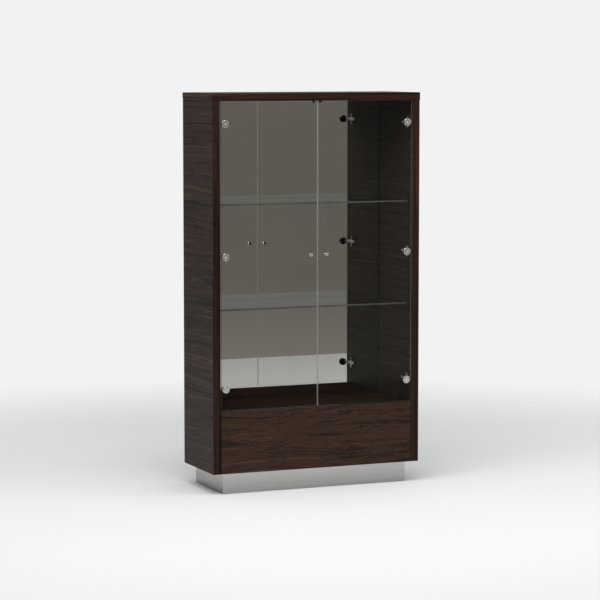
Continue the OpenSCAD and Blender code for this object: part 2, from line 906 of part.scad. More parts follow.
module drawer_front_screws()
    color(ZINC)
        at_front_screws()
            towards_front()
                flat_screw(front_screw_d, front_screw_l, front_screw_head_d, front_screw_head_t);

// ---- Drawer runners ----

// A channel along Y: web on the side of x_web, lips reaching to x_lip
module channel(x_web, x_lip, h) {
    web_side = sign(x_lip - x_web);
    web = [x_web, x_web + web_side * runner_steel_t];
    block(min(web), max(web), runner_front_y, runner_back_y, runner_z - h / 2, runner_z + h / 2);
    for (z = [runner_z - h / 2, runner_z + h / 2 - runner_steel_t])
        block(min(x_web, x_lip), max(x_web, x_lip), runner_front_y, runner_back_y,
              z, z + runner_steel_t);
}

module runner_outer()
    color(ZINC)
        difference() {
            channel(bay_x, bay_x - outer_lip, runner_h);
            at_outer_runner_screws()
                rod_x(runner_screw_d + 2 * fastener_gap, -overcut, runner_steel_t + overcut);
        }

module runner_middle()
    color(ZINC)
        channel(bay_x - runner_web_step, bay_x - outer_lip, middle_h);

module runner_inner()
    color(ZINC)
        difference() {
            channel(drawer_box_x, bay_x - 2 * runner_web_step, inner_h);
            at_inner_runner_screws()
                rod_x(runner_screw_d + 2 * fastener_gap, -runner_steel_t - overcut, overcut);
        }

// One cage with its balls, running back from y at height z
module ball_cage(y, z) {
    block(ball_x - cage_w / 2, ball_x + cage_w / 2, y, y + cage_l, z - cage_t / 2, z + cage_t / 2);
    for (i = [0 : balls_per_cage - 1])
        translate([ball_x, y + cage_rim + i * ball_pitch, z])
            sphere(d = ball_space - 2 * ball_gap, $fn = small_hole_fn);
}

// The cages between outer and middle members lie at the back, those inside them at the front
module runner_ball_cages()
    color(CHROME)
        both_sides()
            for (side = [-1, 1]) {
                ball_cage(runner_back_y - cage_end - cage_l,
                          runner_z + side * (middle_h + ball_space) / 2);
                ball_cage(runner_front_y + cage_end,
                          runner_z + side * (inner_h + ball_space) / 2);
            }

module runner_screws_carcass()
    color(ZINC)
        both_sides()
            at_outer_runner_screws()
                towards_right()
                    flat_screw(runner_screw_d, runner_screw_l, runner_screw_head_d, runner_screw_head_t);

module runner_screws_drawer()
    color(ZINC)
        both_sides()
            at_inner_runner_screws()
                mirror([1, 0, 0])
                    towards_right()
                        flat_screw(runner_screw_d, runner_screw_l, runner_screw_head_d,
                                   runner_screw_head_t);

// ---- Push latch behind the drawer ----

module latch_housing()
    color("#2a2a2a")
        difference() {
            block(-latch_w / 2, latch_w / 2, latch_front_y, inner_back_y,
                  plinth_h + deck_t, plinth_h + deck_t + latch_h);
            translate([0, 0, plunger_z])
                rod_y(plunger_d + 2 * running_gap, latch_front_y - overcut,
                      plunger_tip_y + plunger_l + plunger_travel + overcut);
        }

module latch_plunger()
    color("#8a8d90")
        translate([0, 0, plunger_z])
            rod_y(plunger_d, plunger_tip_y, plunger_tip_y + plunger_l);

// ---- The pieces ----

on_left() side_panel();  // side_panel_left
side_panel();  // side_panel_right
top_panel();
deck(deck_levels[1]);  // display_floor
deck(deck_levels[0]);  // bottom_panel
back_panel();
back_mirror();
plinth_cross_board(plinth_front_y);  // plinth_front
plinth_cross_board(plinth_back_y - plinth_t);  // plinth_back
on_left() plinth_end_board();  // plinth_left
plinth_end_board();  // plinth_right
plinth_corner_blocks();
carcass_dowels();
cam_bolts();
cam_discs();
back_panel_screws();
glass_shelf(lower_shelf_z);  // lower_shelf
glass_shelf(upper_shelf_z);  // upper_shelf
shelf_pins(lower_shelf_z);  // lower_shelf_pins
shelf_pins(upper_shelf_z);  // upper_shelf_pins
door_stops();
on_left() hinge_plates();  // hinge_plates_left
hinge_plates();  // hinge_plates_right
on_left() hinge_arms();  // hinge_arms_left
hinge_arms();  // hinge_arms_right
hinge_plate_screws();
hinge_arm_screws();
on_left() door_glass();  // door_glass_left
door_glass();  // door_glass_right
on_left() hinge_caps();  // hinge_caps_left
hinge_caps();  // hinge_caps_right
on_left() hinge_cups();  // hinge_cups_left
hinge_cups();  // hinge_cups_right
on_left() hinge_gaskets();  // hinge_gaskets_left
hinge_gaskets();  // hinge_gaskets_right
on_left() hinge_pins();  // hinge_pins_left
hinge_pins();  // hinge_pins_right
on_left() door_knob();  // door_knob_left
door_knob();  // door_knob_right
on_left() knob_screw();  // knob_screw_left
knob_screw();  // knob_screw_right
drawer_front();
drawer_cross_board(drawer_box_front_y);  // drawer_inner_front
on_left() drawer_side();  // drawer_side_left
drawer_side();  // drawer_side_right
drawer_cross_board(drawer_box_back_y - drawer_board_t);  // drawer_back
drawer_bottom();
drawer_front_screws();
on_left() runner_outer();  // runner_outer_left
runner_outer();  // runner_outer_right
on_left() runner_middle();  // runner_middle_left
runner_middle();  // runner_middle_right
on_left() runner_inner();  // runner_inner_left
runner_inner();  // runner_inner_right
runner_ball_cages();
runner_screws_carcass();
runner_screws_drawer();
latch_housing();
latch_plunger();
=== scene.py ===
"""China cabinet: a tall wenge-veneered carcass on a steel-faced plinth, with two frameless glass
doors over a mirrored display bay and one wide drawer below. Metres, Z up, front towards -Y."""
import math

import bmesh
import bpy
import numpy as np
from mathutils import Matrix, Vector
from mathutils.geometry import delaunay_2d_cdt


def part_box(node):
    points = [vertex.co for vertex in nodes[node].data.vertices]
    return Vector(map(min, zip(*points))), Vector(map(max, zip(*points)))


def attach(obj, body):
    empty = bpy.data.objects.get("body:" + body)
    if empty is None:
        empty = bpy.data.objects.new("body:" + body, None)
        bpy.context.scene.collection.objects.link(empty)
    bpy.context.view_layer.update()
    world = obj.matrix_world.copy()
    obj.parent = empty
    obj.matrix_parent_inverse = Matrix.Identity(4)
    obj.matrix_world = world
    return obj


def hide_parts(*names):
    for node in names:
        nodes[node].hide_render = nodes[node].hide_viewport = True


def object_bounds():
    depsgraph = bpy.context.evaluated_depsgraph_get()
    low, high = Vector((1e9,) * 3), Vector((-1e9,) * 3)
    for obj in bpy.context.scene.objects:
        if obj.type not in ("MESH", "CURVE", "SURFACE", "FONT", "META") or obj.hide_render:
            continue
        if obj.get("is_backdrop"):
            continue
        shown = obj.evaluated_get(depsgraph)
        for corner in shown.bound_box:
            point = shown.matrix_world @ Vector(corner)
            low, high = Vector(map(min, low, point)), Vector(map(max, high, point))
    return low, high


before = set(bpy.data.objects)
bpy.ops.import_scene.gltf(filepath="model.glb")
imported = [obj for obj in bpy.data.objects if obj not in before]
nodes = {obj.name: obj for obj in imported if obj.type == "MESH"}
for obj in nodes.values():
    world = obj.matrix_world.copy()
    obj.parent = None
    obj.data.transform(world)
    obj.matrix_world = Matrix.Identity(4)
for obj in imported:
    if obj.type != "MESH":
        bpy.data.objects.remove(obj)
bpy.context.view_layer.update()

# ---- Camera, floor and light ----
# A long lens a few paces to the left of the cabinet and just above its top. The floor is a pale
# sheet that ends some way in front of the cabinet, so the mirror shows its edge and, above it,
# the dim end of the studio. Two large soft panels and the pale surroundings give the light.

mm = 0.001

camera_data = bpy.data.cameras.new("studio_camera")
camera_data.lens = 145.2
camera = bpy.data.objects.new("studio_camera", camera_data)
camera.location = (-4.614, -10.943, 2.077)
camera.rotation_euler = (math.pi / 2 - 0.098, 0, -0.398)
bpy.context.scene.collection.objects.link(camera)
bpy.context.scene.camera = camera
bpy.context.scene.view_settings.view_transform = "Standard"


def linear(code):
    """The linear colour, with full alpha, of an sRGB hex code such as "#3d2b24"."""
    srgb = np.array([int(code[i:i + 2], 16) for i in (1, 3, 5)]) / 255
    bright = ((srgb + 0.055) / 1.055) ** 2.4
    return (*np.where(srgb <= 0.04045, srgb / 12.92, bright).tolist(), 1.0)


def add(tree, kind, inputs=None, stops=None, **settings):
    """Adds one node. inputs maps a socket's name or number to a value, or to the output that feeds it;
    stops are a colour ramp's (place, hex code) pairs; settings are the node's own properties."""
    node = tree.nodes.new(kind)
    for name, value in settings.items():
        setattr(node, name, value)
    for socket, value in (inputs or {}).items():
        if isinstance(value, bpy.types.NodeSocket):
            tree.links.new(value, node.inputs[socket])
        else:
            node.inputs[socket].default_value = value
    for i, (place, code) in enumerate(stops or []):
        stop = node.color_ramp.elements[i] if i < 2 else node.color_ramp.elements.new(place)
        stop.position = place
        stop.color = linear(code)
    return node


def material(name, colour, inputs):
    """A new material, its node tree and its Principled shader with this colour and these inputs."""
    made = bpy.data.materials.new(name)
    made.use_nodes = True
    shader = made.node_tree.nodes["Principled BSDF"]
    shader.inputs["Base Color"].default_value = linear(colour)
    for socket, value in inputs.items():
        shader.inputs[socket].default_value = value
    return made, made.node_tree, shader


def mesh_object(name, points, faces):
    """An object at the origin with these points and faces; points that coincide are merged."""
    mesh = bpy.data.meshes.new(name)
    mesh.from_pydata(np.asarray(points, float).tolist(), [], faces)
    work = bmesh.new()
    work.from_mesh(mesh)
    bmesh.ops.remove_doubles(work, verts=work.verts, dist=1e-6)
    work.to_mesh(mesh)
    work.free()
    made = bpy.data.objects.new(name, mesh)
    bpy.context.scene.collection.objects.link(made)
    return made


floor_x = 9.0
floor_front_y = -4.4
floor_back_y = 9.0
floor_z = -0.5 * mm
floor = mesh_object("studio_floor", [
    (-floor_x, floor_front_y, floor_z), (floor_x, floor_front_y, floor_z),
    (floor_x, floor_back_y, floor_z), (-floor_x, floor_back_y, floor_z)], [[0, 1, 2, 3]])
floor_paint, tree, shader = material("pale_floor", "#e9e9e8", {"Roughness": 0.9, "Specular IOR Level": 0.2})


def seen_straight(tree, ahead):
    """1 for rays that have left the camera and at most passed through glass, otherwise 0: a camera ray,
    or a ray just bent by glass whose bounces of any kind are no more than its passes through glass.
    ahead is the one bounce by which the world's count runs ahead, and 0 on a surface."""
    rays = add(tree, "ShaderNodeLightPath")
    others = add(tree, "ShaderNodeMath",
                 {0: rays.outputs["Ray Depth"], 1: rays.outputs["Transmission Depth"]}, operation="SUBTRACT")
    only_glass = add(tree, "ShaderNodeMath", {0: others.outputs[0], 1: ahead + 0.5}, operation="LESS_THAN")
    bent = add(tree, "ShaderNodeMath",
               {0: rays.outputs["Is Transmission Ray"], 1: only_glass.outputs[0]}, operation="MULTIPLY")
    return add(tree, "ShaderNodeMath", {0: rays.outputs["Is Camera Ray"], 1: bent.outputs[0]},
               operation="MAXIMUM").outputs[0]


# The cabinet sees a greyer floor than the camera does, and the camera's fades out into the plain
# background before its edge.
straight = seen_straight(tree, 0)
floor_tone = add(tree, "ShaderNodeMix", {"Factor": straight, "A": linear("#c4c4c2"), "B": linear("#e9e9e8")},
                 data_type="RGBA")
tree.links.new(floor_tone.outputs["Result"], shader.inputs["Base Color"])
distance = add(tree, "ShaderNodeVectorMath", {0: add(tree, "ShaderNodeTexCoord").outputs["Object"]},
               operation="LENGTH")
fade = add(tree, "ShaderNodeMapRange",
           {"Value": distance.outputs["Value"], "From Min": 1.8, "From Max": 4.2},
           interpolation_type="SMOOTHSTEP")
missing = add(tree, "ShaderNodeMath", {0: fade.outputs[0], 1: straight}, operation="MULTIPLY")
gone = add(tree, "ShaderNodeBsdfTransparent")
sweep = add(tree, "ShaderNodeMixShader", {0: missing.outputs[0], 1: shader.outputs[0], 2: gone.outputs[0]})
tree.links.new(sweep.outputs[0], tree.nodes["Material Output"].inputs["Surface"])
floor.data.materials.append(floor_paint)
floor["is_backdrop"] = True

world = bpy.data.worlds.new("studio_surroundings")
world.use_nodes = True
bpy.context.scene.world = world
sky = world.node_tree
sky.nodes.clear()
facing = add(sky, "ShaderNodeSeparateXYZ", {0: add(sky, "ShaderNodeTexCoord").outputs["Generated"]})
# Colours by height: the walls' foot, their lower and upper parts, and the ceiling.
height = add(sky, "ShaderNodeMapRange", {"Value": facing.outputs["Z"], "From Min": -0.14, "From Max": 0.86})
tones_up = add(sky, "ShaderNodeValToRGB", {0: height.outputs[0]},
               stops=[(0.0, "#94918d"), (1.0, "#d8dadc"), (0.05, "#73706b"), (0.11, "#726f6a"),
                      (0.45, "#a4a4a4")])
lit = add(sky, "ShaderNodeBackground", {"Color": tones_up.outputs[0]})
plain = add(sky, "ShaderNodeBackground", {"Color": linear("#f2f2f2")})
shown = add(sky, "ShaderNodeMixShader", {0: seen_straight(sky, 1), 1: lit.outputs[0], 2: plain.outputs[0]})
add(sky, "ShaderNodeOutputWorld", {"Surface": shown.outputs[0]})


def soft_panel(name, place, target, width, height, power):
    """A rectangular area light at place that faces target, with its power in watts. Rays bent by glass
    don't see it, since its light already comes straight through the glass."""
    data = bpy.data.lights.new(name, "AREA")
    data.shape = "RECTANGLE"
    data.size = width
    data.size_y = height
    data.energy = power
    made = bpy.data.objects.new(name, data)
    made.location = place
    made.rotation_euler = (Vector(target) - Vector(place)).to_track_quat("-Z", "Y").to_euler()
    made.visible_transmission = False
    bpy.context.scene.collection.objects.link(made)


soft_panel("overhead_panel", (-1.2, -1.8, 4.6), (0, 0, 1.0), 4.0, 3.0, 150)
soft_panel("right_panel", (4.2, -2.6, 2.6), (0, 0, 1.0), 2.5, 3.0, 60)

# ---- Side panels ----
# Two 38 mm fibreboard panels under wenge veneer, its grain from front to back, plainer inside and
# lacquered to a satin. Their front and back edges carry strips of veneer with upright grain. They
# are rebated for the back panel, and doweled and cammed to the decks.

AXES = {"x": (1, 2), "y": (2, 0), "z": (0, 1)}  # the two axes square to each, in right-handed order


def rounded(corners, radii, steps=4):
    """A closed outline with each corner replaced by an arc. The arc touches both sides at
    radius / tan(half the corner's angle) from the corner and turns about a centre on its bisector."""
    corners = np.asarray(corners, float)
    radii = np.broadcast_to(np.asarray(radii, float), len(corners))
    out = []
    for i, (corner, radius) in enumerate(zip(corners, radii)):
        if radius <= 0:
            out.append(corner[None])
            continue
        before = corners[i - 1] - corner
        after = corners[(i + 1) % len(corners)] - corner
        before /= np.linalg.norm(before)
        after /= np.linalg.norm(after)
        bisector = (before + after) / np.linalg.norm(before + after)
        half = math.acos(np.clip(before @ bisector, -1, 1))
        centre = corner + bisector * radius / math.sin(half)
        start = corner + before * radius / math.tan(half) - centre
        end = corner + after * radius / math.tan(half) - centre
        turn = np.linspace(0, 1, steps + 1)[:, None]
        span = math.pi - 2 * half
        arc = (start * np.sin((1 - turn) * span) + end * np.sin(turn * span)) / math.sin(span)
        out.append(centre + arc)
    return np.concatenate(out)


def rectangle(u0, u1, v0, v1):
    """The four corners of a rectangle, anticlockwise."""
    return [(u0, v0), (u1, v0), (u1, v1), (u0, v1)]


def circle(u, v, radius, steps=32):
    """An even ring of points round (u, v)."""
    turn = np.arange(steps) * 2 * math.pi / steps
    return np.stack([u + radius * np.cos(turn), v + radius * np.sin(turn)], axis=1)


def left_hand_steps(loop):
    """For each point of a closed loop, the step to its left that moves both its sides by 1: the sum
    of the sides' unit normals over 1 plus their dot product."""
    along = np.roll(loop, -1, axis=0) - loop
    along /= np.linalg.norm(along, axis=1)[:, None]
    normal = np.stack([-along[:, 1], along[:, 0]], axis=1)
    other = np.roll(normal, 1, axis=0)
    return (normal + other) / (1 + np.sum(normal * other, axis=1))[:, None]


def signed_area(loop):
    """Half the sum of the cross products of neighbouring points: positive when anticlockwise."""
    after = np.roll(loop, -1, axis=0)
    return np.sum(loop[:, 0] * after[:, 1] - loop[:, 1] * after[:, 0]) / 2


def inside(points, loops):
    """Even-odd rule: a point is inside when a ray from it crosses the loops' sides an odd number of
    times."""
    odd = np.zeros(len(points), bool)
    for loop in loops:
        a, b = loop, np.roll(loop, -1, axis=0)
        straddles = (a[:, 1] > points[:, 1:]) != (b[:, 1] > points[:, 1:])
        rise = np.where(b[:, 1] == a[:, 1], 1, b[:, 1] - a[:, 1])
        crossing = a[:, 0] + (points[:, 1:] - a[:, 1]) / rise * (b[:, 0] - a[:, 0])
        odd ^= (np.sum(straddles & (points[:, :1] < crossing), axis=1) % 2).astype(bool)
    return odd


def slab(name, axis, outline, low, high, ease, holes=(), steps=3):
    """An outline with holes, carried along an axis from low to high. Near both ends every loop is
    drawn in by ease x (1 - cos t) while it is ease x (1 - sin t) from the end, for t from 0 to a
    quarter turn, so each rim is a quarter round. The ends are closed by triangles between the loops."""
    loops = [np.asarray(outline, float)] + [np.asarray(h, float) for h in holes]
    loops = [loop if (signed_area(loop) > 0) == (i == 0) else loop[::-1] for i, loop in enumerate(loops)]
    t = np.linspace(0, math.pi / 2, steps + 1)
    levels = np.concatenate([low + ease * (1 - np.sin(t[::-1])), high - ease * (1 - np.sin(t))])
    drawn_in = np.concatenate([ease * (1 - np.cos(t[::-1])), ease * (1 - np.cos(t))])
    first, second = AXES[axis]
    points, faces, starts = [], [], []
    for loop in loops:
        starts.append(sum(len(p) for p in points))
        rings = loop + drawn_in[:, None, None] * left_hand_steps(loop)
        placed = np.zeros((len(levels), len(loop), 3))
        placed[..., first] = rings[..., 0]
        placed[..., second] = rings[..., 1]
        placed[..., 3 - first - second] = levels[:, None]
        points.append(placed.reshape(-1, 3))
        i = np.arange(len(loop))
        j = (i + 1) % len(loop)
        ring = np.arange(len(levels) - 1)[:, None] * len(loop) + starts[-1]
        walls = np.stack([ring + i, ring + j, ring + j + len(loop), ring + i + len(loop)], axis=-1)
        faces += walls.reshape(-1, 4).tolist()
    ends = [loop + drawn_in[0] * left_hand_steps(loop) for loop in loops]
    counts = [len(loop) for loop in loops]
    offsets = np.cumsum([0] + counts[:-1])
    edges = [(int(o + k), int(o + (k + 1) % n)) for o, n in zip(offsets, counts) for k in range(n)]
    flat = np.concatenate(ends)
    found = delaunay_2d_cdt([Vector(p) for p in flat], edges, [], 0, 1e-9)
    source = np.array([ids[0] for ids in found[3]])
    triangles = source[np.array(found[2])]
    triangles = triangles[inside(flat[triangles].mean(axis=1), ends)]
    bottom = np.concatenate([s + np.arange(n) for s, n in zip(starts, counts)])
    top = bottom + np.repeat([(len(levels) - 1) * n for n in counts], counts)
    faces += bottom[triangles[:, ::-1]].tolist() + top[triangles].tolist()
    return mesh_object(name, np.concatenate(points), faces)


def joined(name, parts):
    """One object made of several parts, which are used up."""
    work = bmesh.new()
    for part in parts:
        work.from_mesh(part.data)
        bpy.data.objects.remove(part)
    mesh = bpy.data.meshes.new(name)
    work.to_mesh(mesh)
    work.free()
    made = bpy.data.objects.new(name, mesh)
    bpy.context.scene.collection.objects.link(made)
    return made


def fit(piece, body, slot, *replaced, finish, faces=(), sharp=40):
    """Gives a piece its material and its place in the frame. faces lists (material, direction) pairs:
    faces that look that way take that material. Curves are shaded smooth up to the sharp angle."""
    mesh = piece.data
    mesh.materials.append(finish)
    normals = np.zeros(len(mesh.polygons) * 3)
    mesh.polygons.foreach_get("normal", normals)
    index = np.zeros(len(mesh.polygons), np.int32)
    for i, (other, direction) in enumerate(faces):
        mesh.materials.append(other)
        index[normals.reshape(-1, 3) @ np.array(direction, float) > 0.6] = i + 1
    mesh.polygons.foreach_set("material_index", index)
    mesh.shade_smooth()
    mesh.set_sharp_from_angle(angle=math.radians(sharp))
    flatten = piece.modifiers.new("flat_faces_stay_flat", "WEIGHTED_NORMAL")
    flatten.keep_sharp = True
    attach(piece, body)
    if replaced:
        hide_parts(*replaced)
    return piece


def wenge(name, grain, tones, roughness, warp=0.05, gloss=0.15):
    """Wenge veneer with its grain along one axis (0, 1 or 2). A slow noise bends the grain by up to
    warp metres across, as where a log's rings come out on the face. Streaks 22 mm and 6 mm wide
    colour it, and pores 1.2 mm wide and 40 mm long, twice their real size so that they show, darken
    and roughen it."""
    made, tree, shader = material(name, tones[1][1], {"Specular IOR Level": gloss})

    def along_grain(length, width):
        """Mapping scales for marks of this length and width, in metres."""
        scale = [1 / width] * 3
        scale[grain] = 1 / length
        return scale

    here = add(tree, "ShaderNodeTexCoord").outputs["Object"]
    slow = add(tree, "ShaderNodeMapping", {"Vector": here, "Scale": along_grain(0.8, 0.35)})
    bend = add(tree, "ShaderNodeTexNoise", {"Vector": slow.outputs[0], "Scale": 1, "Detail": 1})
    bent = add(tree, "ShaderNodeVectorMath", {0: bend.outputs["Color"], 1: [warp] * 3, 2: here},
               operation="MULTIPLY_ADD").outputs[0]
    layers = []
    for length, width, detail in ((1.8, 0.022, 3), (0.9, 0.006, 2), (0.04, 0.0012, 2)):
        place = add(tree, "ShaderNodeMapping", {"Vector": bent, "Scale": along_grain(length, width)})
        layers.append(add(tree, "ShaderNodeTexNoise",
                          {"Vector": place.outputs[0], "Scale": 1, "Detail": detail, "Roughness": 0.6}))
    figure, streaks, pores = (layer.outputs["Fac"] for layer in layers)
    blend = add(tree, "ShaderNodeMix", {"Factor": 0.5, "A": figure, "B": streaks})
    tone = add(tree, "ShaderNodeValToRGB", {0: blend.outputs["Result"]}, stops=tones)
    pore = add(tree, "ShaderNodeValToRGB", {0: pores}, stops=[(0.34, "#a39b98"), (0.5, "#ffffff")])
    colour = add(tree, "ShaderNodeMix", {"Factor": 1, "A": tone.outputs[0], "B": pore.outputs[0]},
                 data_type="RGBA", blend_type="MULTIPLY")
    tree.links.new(colour.outputs["Result"], shader.inputs["Base Color"])
    dull = add(tree, "ShaderNodeMapRange",
               {"Value": streaks, "To Min": roughness + 0.08, "To Max": roughness - 0.04})
    tree.links.new(dull.outputs[0], shader.inputs["Roughness"])
    raised = add(tree, "ShaderNodeBump", {"Height": pores, "Strength": 0.25, "Distance": 0.15 * mm})
    tree.links.new(raised.outputs[0], shader.inputs["Normal"])
    return made


# Wenge is dark brown with near-black streaks. Satin lacquer gives it a soft sheen that the open pores
# break up, and the strips on the edges are redder and a little glossier.
face_tones = [(0.4, "#1c1613"), (0.46, "#352a24"), (0.5, "#43332b"), (0.54, "#312722"), (0.61, "#57463d")]
edge_tones = [(0.4, "#120c0a"), (0.46, "#2a1b14"), (0.5, "#3a2419"), (0.54, "#211813"), (0.61, "#4a3125")]
inner_tones = [(0.4, "#1d1917"), (0.46, "#302925"), (0.5, "#39302b"), (0.54, "#2e2824"), (0.61, "#453a34")]
veneer_deep = wenge("wenge_veneer_front_to_back", 1, face_tones, 0.42)
veneer_inner = wenge("wenge_veneer_inside", 1, inner_tones, 0.42)
veneer_edge_upright = wenge("wenge_lipping_upright", 2, edge_tones, 0.3, warp=0.01)

arris = 1.5 * mm
back_low, back_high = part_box("back_panel")
for side, sign in (("left", -1), ("right", 1)):
    low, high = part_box(f"side_panel_{side}")
    outer_x = sign * max(abs(low.x), abs(high.x))
    inner_x = sign * min(abs(low.x), abs(high.x))
    rebate_x = sign * back_high.x
    section = rounded(
        [(outer_x, low.y), (outer_x, high.y), (rebate_x, high.y), (rebate_x, back_low.y),
         (inner_x, back_low.y), (inner_x, low.y)],
        [arris, 0.5 * mm, 0, 0, 0, arris])
    panel = slab(f"side_panel_{side}_veneered", "z", section, low.z, high.z, 0.4 * mm)
    fit(panel, "carcass", "veneer_panel", f"side_panel_{side}", finish=veneer_deep,
        faces=[(veneer_inner, (-sign, 0, 0)), (veneer_edge_upright, (0, -1, 0)),
               (veneer_edge_upright, (0, 1, 0))])

# ---- Top panel ----
# One 38 mm veneered panel laid over both sides and standing 2 mm past them, its grain running
# across the cabinet. Its front edge is lipped like the sides. Six dowels hold it down.

veneer_across = wenge("wenge_veneer_across", 0, face_tones, 0.42)
veneer_edge_across = wenge("wenge_lipping_across", 0, edge_tones, 0.3, warp=0.01)
low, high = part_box("top_panel")
section = rounded(
    [(low.y, low.z), (back_low.y, low.z), (back_low.y, back_high.z), (high.y, back_high.z),
     (high.y, high.z), (low.y, high.z)],
    [arris, 0, 0, 0, 1 * mm, arris])
panel = slab("top_panel_veneered", "x", section, low.x, high.x, 0.8 * mm)
fit(panel, "carcass", "veneer_panel", "top_panel", finish=veneer_across,
    faces=[(veneer_edge_across, (0, -1, 0)), (veneer_edge_across, (0, 1, 0)),
           (veneer_deep, (1, 0, 0)), (veneer_deep, (-1, 0, 0))])


def dress(finish, *names):
    """Gives CAD nodes a finish in every material slot."""
    for name in names:
        mesh_slots = nodes[name].material_slots
        if not mesh_slots:
            nodes[name].data.materials.append(finish)
        for held in mesh_slots:
            held.material = finish


# ---- Decks ----
# The display floor and the bottom panel are 22 mm boards between the sides, veneered like them.
# They have a darker stain under a dead matt lacquer.

deck_tones = [(0.4, "#1a1411"), (0.46, "#271e19"), (0.5, "#30241d"), (0.54, "#241c18"), (0.61, "#3b2f28")]
dress(wenge("wenge_veneer_dead_matt", 0, deck_tones, 0.6, gloss=0.0), "display_floor", "bottom_panel")

# ---- Back panel and its screws ----
# A 6 mm fibreboard with a dark brown paper foil printed with an even grain, let into the rebates
# and fixed with zinc-plated countersunk screws.

# Printed foil is flatter and more even than veneer. Its lines are 3.3 mm wide and 170 mm long, and the
# fibres that show through it 1.1 mm.
foil, tree, shader = material("brown_foil_on_fibreboard", "#3a2c25",
                              {"Roughness": 0.55, "Specular IOR Level": 0.3})
here = add(tree, "ShaderNodeTexCoord").outputs["Object"]
grain = add(tree, "ShaderNodeMapping", {"Vector": here, "Scale": (300, 300, 6)})
lines = add(tree, "ShaderNodeTexNoise", {"Vector": grain.outputs[0], "Scale": 1, "Detail": 4})
print_tone = add(tree, "ShaderNodeValToRGB", {0: lines.outputs["Fac"]},
                 stops=[(0.35, "#2b201b"), (0.65, "#46362d")])
tree.links.new(print_tone.outputs[0], shader.inputs["Base Color"])
fibre = add(tree, "ShaderNodeTexNoise", {"Vector": here, "Scale": 900, "Detail": 3})
raised = add(tree, "ShaderNodeBump",
             {"Height": fibre.outputs["Fac"], "Strength": 0.2, "Distance": 0.1 * mm})
tree.links.new(raised.outputs[0], shader.inputs["Normal"])
dress(foil, "back_panel")

# Zinc plate is a cool grey with faint crystals, drawn 3 mm wide so that they show, and is duller in
# patches about 8 mm wide where it has been handled.
zinc, tree, shader = material("zinc_plated_steel", "#a9aeb2", {"Metallic": 1, "Roughness": 0.35})
here = add(tree, "ShaderNodeTexCoord").outputs["Object"]
crystals = add(tree, "ShaderNodeTexVoronoi", {"Vector": here, "Scale": 350})
zinc_tone = add(tree, "ShaderNodeValToRGB", {0: crystals.outputs["Color"]},
                stops=[(0.0, "#8f969c"), (0.6, "#b3b8bb"), (1.0, "#c6c7c2")])
tree.links.new(zinc_tone.outputs[0], shader.inputs["Base Color"])
rubbed = add(tree, "ShaderNodeTexNoise", {"Vector": here, "Scale": 120, "Detail": 4})
dull = add(tree, "ShaderNodeMapRange", {"Value": rubbed.outputs["Fac"], "To Min": 0.26, "To Max": 0.48})
tree.links.new(dull.outputs[0], shader.inputs["Roughness"])
dress(zinc, "back_panel_screws")

# ---- Mirror ----
# A 4 mm silvered glass glued to the back panel behind the whole display bay, its edges ground.
# The glass takes a little of the light and leaves the picture faintly warm and grey.


def mottled(name, colour, inputs, width, detail, stops, dull=None, raised=None):
    """A finish with an even mottle: a noise whose marks are width metres wide. stops are the colours
    along it, dull the roughness where it is 0 and 1, and raised a bump's strength and depth."""
    made, tree, shader = material(name, colour, inputs)
    here = add(tree, "ShaderNodeTexCoord").outputs["Object"]
    noise = add(tree, "ShaderNodeTexNoise", {"Vector": here, "Scale": 1 / width, "Detail": detail})
    marks = noise.outputs["Fac"]
    tone = add(tree, "ShaderNodeValToRGB", {0: marks}, stops=stops)
    tree.links.new(tone.outputs[0], shader.inputs["Base Color"])
    if dull:
        roughness = add(tree, "ShaderNodeMapRange", {"Value": marks, "To Min": dull[0], "To Max": dull[1]})
        tree.links.new(roughness.outputs[0], shader.inputs["Roughness"])
    if raised:
        bump = add(tree, "ShaderNodeBump", {"Height": marks, "Strength": raised[0], "Distance": raised[1]})
        tree.links.new(bump.outputs[0], shader.inputs["Normal"])
    return made


def let_lamps_past(finish, through):
    """Lets light from the lamps pass straight through, with the share that the colour through says at
    each face, while every other ray meets the shader."""
    tree = finish.node_tree
    shader = tree.nodes["Principled BSDF"]
    for_lamps = add(tree, "ShaderNodeBsdfTransparent", {"Color": linear(through)})
    rays = add(tree, "ShaderNodeLightPath")
    either = add(tree, "ShaderNodeMixShader",
                 {0: rays.outputs["Is Shadow Ray"], 1: shader.outputs[0], 2: for_lamps.outputs[0]})
    tree.links.new(either.outputs[0], tree.nodes["Material Output"].inputs["Surface"])


def glass_edge(name, colour, roughness, clearness, stops):
    """The worked edge of a pane: grit drawn 0.67 mm wide, several times its real size so that it
    shows, and as much of the glass's depth as clearness lets through."""
    made = mottled(name, colour, {"Roughness": roughness, "IOR": 1.5, "Transmission Weight": clearness},
                   0.67 * mm, 2, stops)
    let_lamps_past(made, "#c8c8c4")
    return made


# Silver behind clear glass gives a sharp picture, with a clouding about 330 mm wide that is hardly seen.
silvering = mottled("silvered_glass", "#e0dfdb", {"Metallic": 1, "Roughness": 0.0}, 330 * mm, 3,
                    [(0.3, "#dedddb"), (0.7, "#e2e1dd")])
# Left from the wheel, an edge scatters light, so it looks pale and milky.
ground_edge = glass_edge("ground_glass_edge", "#c3c2bb", 0.35, 0.1, [(0.3, "#b9b8b1"), (0.7, "#cdccc5")])
low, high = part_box("back_mirror")
pane = slab("back_mirror_silvered", "y", rectangle(low.z, high.z, low.x, high.x), low.y, high.y, 0.6 * mm)
fit(pane, "carcass", "mirror", "back_mirror", finish=ground_edge, faces=[(silvering, (0, -1, 0))])

# ---- Plinth ----
# Four fibreboard boards under the bottom panel. Their outer faces carry 0.8 mm sheets of stainless
# steel, brushed along their length, and blocks glued in the corners stiffen them.

# Brushed steel is light grey, and its reflections are drawn out across the brush lines.
steel, tree, shader = material("brushed_stainless_steel", "#c3c4c2",
                               {"Metallic": 1, "Roughness": 0.3, "Anisotropic": 0.5})
here = add(tree, "ShaderNodeTexCoord").outputs["Object"]
